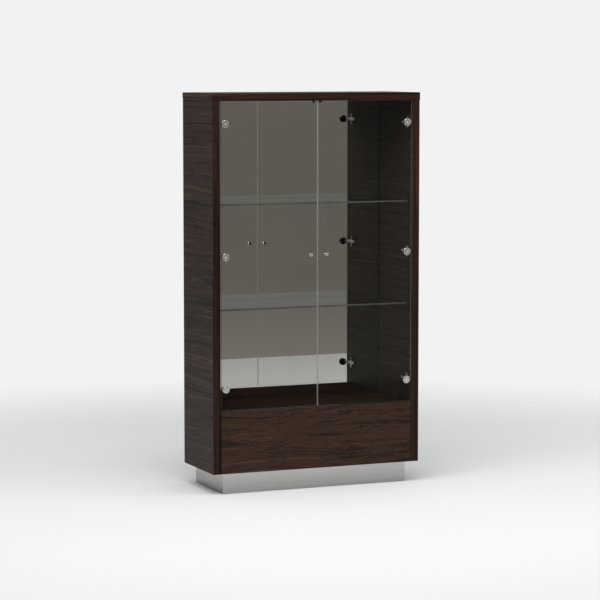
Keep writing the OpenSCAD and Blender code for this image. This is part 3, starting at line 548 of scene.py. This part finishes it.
# Brush lines are 0.1 mm apart on the real sheet. They are drawn 1.2 mm apart so that they show.
brushed = add(tree, "ShaderNodeMapping", {"Vector": here, "Scale": (5, 5, 830)})
hairlines = add(tree, "ShaderNodeTexNoise", {"Vector": brushed.outputs[0], "Scale": 1, "Detail": 5})
steel_tone = add(tree, "ShaderNodeValToRGB", {0: hairlines.outputs["Fac"]},
                 stops=[(0.3, "#d3d4d2"), (0.7, "#ebecea")])
# Painted shade: the sheet is darkened towards the floor, standing in for the cabinet's shadow on the floor
# that it reflects there.
rise = add(tree, "ShaderNodeSeparateXYZ", {0: here})
shade_towards_floor = add(tree, "ShaderNodeMapRange", {"Value": rise.outputs["Z"], "From Min": 0, "From Max": 0.1})
painted_floor_shade = add(tree, "ShaderNodeValToRGB", {0: shade_towards_floor.outputs[0]},
                stops=[(0.0, "#d6d6d5"), (1.0, "#ffffff")])
steel_colour = add(tree, "ShaderNodeMix",
                   {"Factor": 1, "A": steel_tone.outputs[0], "B": painted_floor_shade.outputs[0]},
                   data_type="RGBA", blend_type="MULTIPLY")
tree.links.new(steel_colour.outputs["Result"], shader.inputs["Base Color"])
dull = add(tree, "ShaderNodeMapRange",
           {"Value": hairlines.outputs["Fac"], "To Min": 0.24, "To Max": 0.38})
tree.links.new(dull.outputs[0], shader.inputs["Roughness"])
raised = add(tree, "ShaderNodeBump",
             {"Height": hairlines.outputs["Fac"], "Strength": 0.15, "Distance": 0.05 * mm})
tree.links.new(raised.outputs[0], shader.inputs["Normal"])
turned_round = add(tree, "ShaderNodeTangent", direction_type="RADIAL", axis="Z")
tree.links.new(turned_round.outputs[0], shader.inputs["Tangent"])

# Raw fibreboard is matt and light brown, with a fleck of fibres about 1.4 mm long.
fibreboard = mottled("raw_fibreboard", "#8a6a4c", {"Roughness": 0.8, "Specular IOR Level": 0.2},
                     1.4 * mm, 5, [(0.35, "#775a40"), (0.65, "#9a7a5a")])

sheet_t = 0.8 * mm
front_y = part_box("plinth_front")[0].y
back_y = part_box("plinth_back")[1].y
for name in ("plinth_front", "plinth_back", "plinth_left", "plinth_right"):
    low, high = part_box(name)
    x = [low.x, high.x]
    y = [low.y, high.y]
    sheet_x, sheet_y = list(x), list(y)
    if name in ("plinth_left", "plinth_right"):
        outer = 0 if name == "plinth_left" else 1
        x[outer] += sheet_t * (1 - 2 * outer)
        sheet_x[1 - outer] = x[outer]
        sheet_y = [front_y + sheet_t, back_y - sheet_t]
    else:
        outer = 0 if name == "plinth_front" else 1
        y[outer] += sheet_t * (1 - 2 * outer)
        sheet_y[1 - outer] = y[outer]
        x = [low.x + sheet_t, high.x - sheet_t]
    core = slab(f"{name}_board", "z", rectangle(*x, *y), low.z, high.z, 0.3 * mm)
    fit(core, "carcass", "plinth_steel", name, finish=fibreboard)
    sheet = slab(f"{name}_steel_sheet", "z", rectangle(*sheet_x, *sheet_y), low.z, high.z, 0.15 * mm)
    fit(sheet, "carcass", "plinth_steel", name, finish=steel)

# ---- Corner blocks and dowels ----
# Four planed softwood blocks glued in the plinth's corners, and wooden dowels glued into drilled
# holes where the carcass's boards meet.

# Planed softwood is pale and dull, striped by year rings 4.5 mm apart that run up the block.
softwood, tree, shader = material("planed_softwood", "#c9a676",
                                  {"Roughness": 0.6, "Specular IOR Level": 0.3})
here = add(tree, "ShaderNodeTexCoord").outputs["Object"]
rings = add(tree, "ShaderNodeMapping", {"Vector": here, "Scale": (220, 220, 12)})
year_rings = add(tree, "ShaderNodeTexNoise", {"Vector": rings.outputs[0], "Scale": 1, "Detail": 3})
wood_tone = add(tree, "ShaderNodeValToRGB", {0: year_rings.outputs["Fac"]},
                stops=[(0.35, "#b48d5c"), (0.6, "#d4b384")])
tree.links.new(wood_tone.outputs[0], shader.inputs["Base Color"])
dress(softwood, "plinth_corner_blocks", "carcass_dowels")

# ---- Cam fasteners ----
# Zinc-plated steel bolts screwed into the sides. Cast cams, let into the decks from below, grip their
# heads and draw the joints tight.

dress(zinc, "cam_bolts", "cam_discs")

# ---- Glass shelves ----
# Two shelves of 8 mm clear float glass with rounded corners, their edges ground and polished. They
# lie loose on metal pins.


def clear_glass(name, colour, through, mirrored):
    """Float glass, faintly grey in its depth. Its surface bends light. Seen straight on, it reflects
    the share mirrored of what bare glass would, as a coating against reflections does."""
    made = material(name, colour, {"Roughness": 0.0, "IOR": 1.5, "Transmission Weight": 1,
                                   "Specular Tint": (mirrored, mirrored, mirrored, 1)})[0]
    let_lamps_past(made, through)
    return made


shelf_glass = clear_glass("clear_shelf_glass", "#eef3f0", "#f4f7f5", 1.0)
# A polished edge is clear and shows the grey of the glass behind it, so it looks darker than a ground one.
polished_edge = glass_edge("polished_glass_edge", "#98998f", 0.2, 0.85, [(0.3, "#8e8f86"), (0.7, "#a4a499")])
all_round = [(1, 0, 0), (-1, 0, 0), (0, 1, 0), (0, -1, 0)]
for name in ("lower_shelf", "upper_shelf"):
    low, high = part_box(name)
    shelf = slab(f"{name}_glass", "z", rounded(rectangle(low.x, high.x, low.y, high.y), 3 * mm),
                 low.z, high.z, 0.8 * mm)
    fit(shelf, "carcass", "shelf_glass", name, finish=shelf_glass,
        faces=[(polished_edge, direction) for direction in all_round])

# ---- Shelf pins ----
# Turned and nickel-plated pins: a peg in the side panel, a collar against it and a stub with a
# groove, on which the shelf lies.


def turned(name, axis, centre, profile, around=40):
    """A surface of revolution: each (distance along the axis, radius) pair of the profile goes round
    the axis through centre, at angles evenly spaced over a full turn."""
    profile = np.asarray(profile, float)
    turn = np.arange(around) * 2 * math.pi / around
    first, second = AXES[axis]
    points = np.zeros((len(profile), around, 3))
    points[..., first] = centre[first] + profile[:, 1:] * np.cos(turn)
    points[..., second] = centre[second] + profile[:, 1:] * np.sin(turn)
    points[..., 3 - first - second] = profile[:, :1]
    ring = np.arange(len(profile) - 1)[:, None] * around
    i = np.arange(around)
    j = (i + 1) % around
    faces = np.stack([ring + i, ring + j, ring + j + around, ring + i + around], axis=-1).reshape(-1, 4)
    if profile[-1, 0] < profile[0, 0]:
        faces = faces[:, ::-1]
    return mesh_object(name, points.reshape(-1, 3), faces.tolist())


# Polished chrome shines hard and cool, blurred a little in wiped patches 3.8 mm wide.
chrome = mottled("polished_chrome", "#d9dbdc", {"Metallic": 1, "Roughness": 0.1}, 3.8 * mm, 5,
                 [(0.3, "#d2d4d6"), (0.7, "#dfe1e1")], dull=(0.05, 0.17))

peg_r = 2.5 * mm
stub_l = 9 * mm
groove_l = 1.2 * mm
groove_depth = 0.5 * mm
for name in ("lower_shelf_pins", "upper_shelf_pins"):
    low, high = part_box(name)
    stub_r = (high.z - low.z) / 2
    peg_l = high.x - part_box("side_panel_right")[0].x
    wall_x = high.x - peg_l
    groove_x = wall_x - 3 * mm
    pins = []
    for sign in (-1, 1):
        for y in (low.y + stub_r, high.y - stub_r):
            profile = np.array([
                (wall_x - stub_l, 0), (wall_x - stub_l, stub_r - 0.6 * mm),
                (wall_x - stub_l + 0.6 * mm, stub_r),
                (groove_x, stub_r), (groove_x + groove_l / 3, stub_r - groove_depth),
                (groove_x + groove_l * 2 / 3, stub_r - groove_depth), (groove_x + groove_l, stub_r),
                (wall_x, stub_r),
                (wall_x, peg_r), (high.x - 0.5 * mm, peg_r), (high.x, peg_r - 0.5 * mm), (high.x, 0)])
            profile[:, 0] *= sign
            pins.append(turned("pin", "x", (0, y, (low.z + high.z) / 2), profile, 28))
    fit(joined(f"{name}_turned", pins), "carcass", "chrome", name, finish=chrome)

# ---- Glass doors ----
# Frameless 6 mm toughened glass, its edges ground to a chamfer, drilled for three hinge cups near
# the outer edge and for the knob's screw near the free one. The free edges, where the doors meet,
# are left pale from the wheel, and the others are polished.

door_glass = clear_glass("clear_door_glass", "#f6f6f4", "#f8f8f7", 0.0)
cap_low, cap_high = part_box("hinge_caps_right")
cap_r = (cap_high.x - cap_low.x) / 2
hinge_x = (cap_low.x + cap_high.x) / 2
hinge_levels = np.linspace(cap_low.z + cap_r, cap_high.z - cap_r, 3)
knob_low, knob_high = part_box("door_knob_right")
knob_x = (knob_low.x + knob_high.x) / 2
knob_z = (knob_low.z + knob_high.z) / 2
hinge_hole_r = 13 * mm
knob_hole_r = 3 * mm
for side, sign in (("left", -1), ("right", 1)):
    low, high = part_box(f"door_glass_{side}")
    holes = [circle(z, sign * hinge_x, hinge_hole_r, 48) for z in hinge_levels]
    holes.append(circle(knob_z, sign * knob_x, knob_hole_r, 24))
    outline = rounded(rectangle(low.z, high.z, low.x, high.x), 1.5 * mm)
    door = slab(f"door_glass_{side}_pane", "y", outline, low.y, high.y, 0.7 * mm, holes)
    polished_ways = [(sign, 0, 0), (0, 0, 1), (0, 0, -1)]
    fit(door, f"door_{side}", "door_glass", f"door_glass_{side}", finish=door_glass,
        faces=[(ground_edge, (-sign, 0, 0))] + [(polished_edge, way) for way in polished_ways])

# ---- Hinge caps ----
# Round die-cast covers over the hinge cups in front of the glass, chrome-plated: a bevelled rim, a
# fine groove and a dimple in the middle.

# Satin chrome is a white metal with soft, wide highlights, wiped in patches 2 mm wide.
satin_chrome = mottled("satin_chrome", "#e3e2df", {"Metallic": 1, "Roughness": 0.24}, 2 * mm, 4,
                       [(0.3, "#dddcd9"), (0.7, "#e9e8e5")], dull=(0.18, 0.3))

back, front = cap_high.y, cap_low.y
groove_r = 11 * mm
groove_depth = 0.6 * mm
dimple_r = 4.5 * mm
dimple_depth = 1.1 * mm
quarter = np.linspace(0, math.pi / 2, 7)[:, None]
cap_profile = np.concatenate([
    [(back, 0), (back, cap_r), (front + 0.9 * mm, cap_r), (front + 0.3 * mm, cap_r - 0.5 * mm),
     (front, cap_r - 1.3 * mm), (front, groove_r + 0.8 * mm), (front + groove_depth, groove_r + 0.4 * mm),
     (front + groove_depth, groove_r - 0.4 * mm), (front, groove_r - 0.8 * mm)],
    np.hstack([front + dimple_depth * np.sin(quarter), dimple_r * np.cos(quarter)])])
for side, sign in (("left", -1), ("right", 1)):
    caps = [turned("cap", "y", (sign * hinge_x, 0, z), cap_profile, 64) for z in hinge_levels]
    fit(joined(f"hinge_caps_{side}_turned", caps), f"door_{side}", "chrome", f"hinge_caps_{side}",
        finish=satin_chrome)

# ---- Hinge cups, gaskets and pins ----
# Black die-cast cups behind the glass, each with a boss through it, a slot for the arm and a bore
# for the steel pin. A soft ring keeps the cup off the glass.

# The coated casting is near black with a satin sheen, broken up by grains 0.8 mm wide. Rubber is
# duller, with a grey bloom in patches 3.3 mm wide.
cast_black = mottled("black_coated_die_casting", "#1b1b1c", {"Roughness": 0.4}, 0.8 * mm, 3,
                     [(0.3, "#161617"), (0.7, "#222223")], dull=(0.3, 0.5), raised=(0.3, 0.1 * mm))
rubber = mottled("black_rubber", "#161616", {"Roughness": 0.75, "Specular IOR Level": 0.3}, 3.3 * mm, 4,
                 [(0.3, "#121212"), (0.7, "#1f1f1f")])
dress(cast_black, "hinge_cups_left", "hinge_cups_right")
dress(rubber, "hinge_gaskets_left", "hinge_gaskets_right")
dress(zinc, "hinge_pins_left", "hinge_pins_right")

# ---- Hinge arms, plates and screws ----
# Bright nickel-plated steel arms, each an eye on the cup's pin, a blade cranked round the glass and
# a rounded bar held down by one screw on a cross-shaped plate, which two countersunk screws fix to
# the side.

# Nickel is a warm white metal, its highlights a little softer than chrome's, wiped in patches 2.5 mm wide.
nickel = mottled("bright_nickel_plate", "#f1efea", {"Metallic": 1, "Roughness": 0.3}, 2.5 * mm, 4,
                 [(0.3, "#eceae4"), (0.7, "#f5f4f0")], dull=(0.22, 0.36))

eye_r = 3 * mm
bore_r = 1.56 * mm
eye_rim = 0.4 * mm
blade = 3 * mm
half_h = 6 * mm
bar_l = 75 * mm
bar_t = 7 * mm
for side, sign in (("left", -1), ("right", 1)):
    pin_low, pin_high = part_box(f"hinge_pins_{side}")
    arm_low, arm_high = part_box(f"hinge_arms_{side}")
    pin_x = abs(pin_low.x + pin_high.x) / 2
    pin_y = (pin_low.y + pin_high.y) / 2
    plate_x = max(abs(arm_low.x), abs(arm_high.x))
    crank_y = arm_high.y - bar_l
    arms = []
    for z in hinge_levels:
        eye = turned("eye", "z", (sign * pin_x, pin_y, 0), [
            (z - half_h, bore_r), (z - half_h, eye_r - eye_rim), (z - half_h + eye_rim, eye_r),
            (z + half_h - eye_rim, eye_r), (z + half_h, eye_r - eye_rim), (z + half_h, bore_r),
            (z - half_h, bore_r)], 32)
        bent = np.array([(pin_x - blade / 2, pin_y + 2 * mm), (pin_x + blade / 2, pin_y + 2 * mm),
                         (pin_x + blade / 2, crank_y), (plate_x, crank_y), (plate_x, crank_y + blade),
                         (pin_x - blade / 2, crank_y + blade)])
        bent[:, 0] *= sign
        crank = slab("crank", "z", rounded(bent, [0, 0, 1.2 * mm, 0, 0, 3.5 * mm]),
                     z - half_h, z + half_h, 1.2 * mm)
        grip = rounded(rectangle(crank_y + 0.1 * mm, arm_high.y, z - half_h, z + half_h),
                       [3 * mm, 5.5 * mm, 5.5 * mm, 3 * mm], 8)
        bar_x = sorted((sign * plate_x, sign * (plate_x - bar_t)))
        arms += [eye, crank, slab("bar", "x", grip, *bar_x, 2.8 * mm, steps=6)]
    cranked = joined(f"hinge_arms_{side}_cranked", arms)
    fit(cranked, "carcass", "chrome", f"hinge_arms_{side}", finish=nickel)
dress(nickel, "hinge_plates_left", "hinge_plates_right")
dress(zinc, "hinge_plate_screws", "hinge_arm_screws")

# ---- Knobs ----
# Turned brass, satin chrome-plated: a foot, a slim neck and a head with a shallow dish, with a thin
# black rubber washer between foot and glass. A screw from behind the glass holds each one.

washer_t = 0.6 * mm
foot, tip = knob_high.y - washer_t, knob_low.y
foot_r = 6.5 * mm
foot_l = 2 * mm
neck_r = 4.5 * mm
neck_l = 12.4 * mm
neck_flare = 1.4 * mm
head_r = (knob_high.x - knob_low.x) / 2
head_l = 9.6 * mm
rim = 0.4 * mm
dish_depth = 0.6 * mm
neck = np.linspace(0, 1, 9)[:, None]
knob_profile = np.concatenate([
    [(foot, 0), (foot, foot_r - 0.3 * mm), (foot - rim, foot_r), (foot - foot_l + rim, foot_r),
     (foot - foot_l, foot_r - rim)],
    np.hstack([foot - foot_l - neck * neck_l, neck_r + neck_flare * (2 * neck - 1) ** 6]),
    [(tip + head_l, head_r - rim), (tip + head_l - rim, head_r), (tip + 0.8 * mm, head_r),
     (tip + 0.25 * mm, head_r - 0.3 * mm), (tip, head_r - 0.9 * mm), (tip, head_r - 1.6 * mm),
     (tip + dish_depth - 0.1 * mm, 3 * mm), (tip + dish_depth, 0)]])
for side, sign in (("left", -1), ("right", 1)):
    centre = (sign * knob_x, 0, knob_z)
    knob = turned(f"door_knob_{side}_turned", "y", centre, knob_profile, 48)
    fit(knob, f"door_{side}", "chrome", f"door_knob_{side}", finish=satin_chrome)
    washer = turned(f"door_knob_{side}_washer", "y", centre, [
        (foot + washer_t, 0), (foot + washer_t, foot_r + 0.2 * mm), (foot + 0.1 * mm, foot_r + rim),
        (foot, foot_r + 0.2 * mm), (foot, 0)], 48)
    fit(washer, f"door_{side}", "chrome", f"door_knob_{side}", finish=rubber)
dress(cast_black, "knob_screw_left", "knob_screw_right")

# ---- Door stops ----
# Two soft black moulded blocks glued under the top panel, one for each door, which the closed doors
# rest against.

low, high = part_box("door_stops")
stop_w = 10 * mm
stops = []
for x0 in (low.x, high.x - stop_w):
    outline = rounded(rectangle(x0, x0 + stop_w, low.y, high.y), 1.5 * mm)
    stops.append(slab("stop", "z", outline, low.z, high.z, 1 * mm))
fit(joined("door_stops_moulded", stops), "carcass", "dark_plastic", "door_stops", finish=rubber)

# ---- Drawer front ----
# A 19 mm board without a handle, veneered from one wide leaf whose grain runs across and bends
# with the log's rings, and lipped on all four edges.

# The front's leaf is browner and livelier than the sides'.
front_tones = [(0.4, "#251914"), (0.45, "#392820"), (0.5, "#473126"), (0.55, "#362720"), (0.62, "#573f33")]
veneer_front = wenge("wenge_veneer_drawer_front", 0, front_tones, 0.4, warp=0.16)
low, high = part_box("drawer_front")
face = slab("drawer_front_veneered", "y", rounded(rectangle(low.z, high.z, low.x, high.x), 1 * mm),
            low.y, high.y, 0.8 * mm)
fit(face, "drawer", "veneer_front", "drawer_front", finish=veneer_front,
    faces=[(veneer_edge_upright, (1, 0, 0)), (veneer_edge_upright, (-1, 0, 0))])

# ---- Drawer box ----
# Beech-veneered boards with rounded upper edges, grooved for a thin bottom and screwed to the
# front from inside.


def beech(name, grain):
    """Lacquered beech with its grain along one axis: pale brown streaks 8 mm wide and the short dark
    flecks of its rays, 0.6 mm wide and 3 mm long."""
    made, tree, shader = material(name, "#d2ae82", {"Roughness": 0.45, "Specular IOR Level": 0.4})
    here = add(tree, "ShaderNodeTexCoord").outputs["Object"]
    layers = []
    for length, width, detail in ((0.3, 0.008, 4), (0.003, 0.0006, 1)):
        scale = [1 / width] * 3
        scale[grain] = 1 / length
        place = add(tree, "ShaderNodeMapping", {"Vector": here, "Scale": scale})
        layers.append(add(tree, "ShaderNodeTexNoise",
                          {"Vector": place.outputs[0], "Scale": 1, "Detail": detail}))
    tone = add(tree, "ShaderNodeValToRGB", {0: layers[0].outputs["Fac"]},
               stops=[(0.35, "#c09a6c"), (0.65, "#dcbb92")])
    fleck = add(tree, "ShaderNodeValToRGB", {0: layers[1].outputs["Fac"]},
                stops=[(0.28, "#b08a66"), (0.36, "#ffffff")])
    colour = add(tree, "ShaderNodeMix", {"Factor": 0.7, "A": tone.outputs[0], "B": fleck.outputs[0]},
                 data_type="RGBA", blend_type="MULTIPLY")
    tree.links.new(colour.outputs["Result"], shader.inputs["Base Color"])
    raised = add(tree, "ShaderNodeBump",
                 {"Height": layers[0].outputs["Fac"], "Strength": 0.1, "Distance": 0.1 * mm})
    tree.links.new(raised.outputs[0], shader.inputs["Normal"])
    return made


beech_deep = beech("lacquered_beech_front_to_back", 1)
beech_across = beech("lacquered_beech_across", 0)
bottom_low, bottom_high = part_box("drawer_bottom")
groove_gap = 0.15 * mm
board_ease = 2 * mm


def grooved_section(inner, outer, groove_end, low_z, high_z):
    """A board's section as (across, height) pairs: a rectangle with rounded upper edges and a groove
    for the drawer bottom in its inner face."""
    corners = [(inner, low_z), (outer, low_z), (outer, high_z), (inner, high_z),
               (inner, bottom_high.z + groove_gap), (groove_end, bottom_high.z + groove_gap),
               (groove_end, bottom_low.z - groove_gap), (inner, bottom_low.z - groove_gap)]
    return rounded(corners, [0.4 * mm, 0.4 * mm, board_ease, board_ease, 0, 0, 0, 0])


for side, sign in (("left", -1), ("right", 1)):
    low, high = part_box(f"drawer_side_{side}")
    inner, outer = (low.x, high.x) if sign > 0 else (high.x, low.x)
    groove_end = sign * (bottom_high.x + groove_gap)
    section = grooved_section(inner, outer, groove_end, low.z, high.z)[:, ::-1]
    board = slab(f"drawer_side_{side}_beech", "y", section, low.y, high.y, 0.3 * mm)
    fit(board, "drawer", "drawer_wood", f"drawer_side_{side}", finish=beech_deep)
for name, faces_back in (("drawer_inner_front", True), ("drawer_back", False)):
    low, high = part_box(name)
    inner, outer = (high.y, low.y) if faces_back else (low.y, high.y)
    groove_end = bottom_low.y - groove_gap if faces_back else bottom_high.y + groove_gap
    section = grooved_section(inner, outer, groove_end, low.z, high.z)
    board = slab(f"{name}_beech", "x", section, low.x, high.x, 0.2 * mm)
    fit(board, "drawer", "drawer_wood", name, finish=beech_across)
dress(beech_across, "drawer_bottom")
dress(zinc, "drawer_front_screws")

# ---- Drawer runners ----
# Ball-bearing runners in three nested members of roll-formed, zinc-plated steel. Caged balls run
# between their lips, and flat-headed screws hold the outer and inner members.

steel_t = 1.2 * mm
outer_bend_r = 2 * mm
inner_bend_r = 0.8 * mm
cut_r = 0.3 * mm
for side, sign in (("left", -1), ("right", 1)):
    for member, body, opens in (("outer", "carcass", -1), ("middle", "runner_middles", -1),
                                ("inner", "drawer", 1)):
        name = f"runner_{member}_{side}"
        low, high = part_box(name)
        near, far = sorted((abs(low.x), abs(high.x)))
        web, lip = (far, near) if opens < 0 else (near, far)
        corners = np.array([
            (low.z, web), (high.z, web), (high.z, lip), (high.z - steel_t, lip),
            (high.z - steel_t, web + opens * steel_t), (low.z + steel_t, web + opens * steel_t),
            (low.z + steel_t, lip), (low.z, lip)])
        corners[:, 1] *= sign
        section = rounded(corners, [outer_bend_r, outer_bend_r, cut_r, cut_r,
                                    inner_bend_r, inner_bend_r, cut_r, cut_r])
        channel = slab(f"{name}_rolled", "y", section, low.y, high.y, 0.2 * mm)
        fit(channel, body, "zinc", name, finish=zinc)
dress(chrome, "runner_ball_cages")
dress(zinc, "runner_screws_carcass", "runner_screws_drawer")

# ---- Push latch ----
# A moulded housing on the bottom panel with a sprung plunger, which lets the drawer out when its
# front is pressed. The plunger's tip is rounded.

# Moulded acetal is a smooth grey with a waxy sheen over the mould's spark texture, 0.7 mm wide.
moulded = mottled("grey_moulded_acetal", "#8a8d90", {"Roughness": 0.45}, 0.7 * mm, 2,
                  [(0.3, "#83868a"), (0.7, "#919497")], raised=(0.25, 0.08 * mm))
dress(cast_black, "latch_housing")
low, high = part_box("latch_plunger")
plunger_r = (high.z - low.z) / 2
dome_l = 2.5 * mm
dome = np.linspace(0, math.pi / 2, 8)[:, None]
plunger_profile = np.concatenate([
    np.hstack([low.y + dome_l * (1 - np.sin(dome)), plunger_r * np.cos(dome)])[::-1],
    [(high.y - 0.4 * mm, plunger_r), (high.y, plunger_r - 0.4 * mm), (high.y, 0)]])
plunger = turned("latch_plunger_domed", "y", (0, 0, (low.z + high.z) / 2), plunger_profile, 32)
fit(plunger, "latch_plunger", "grey_plastic", "latch_plunger", finish=moulded)

low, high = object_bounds()
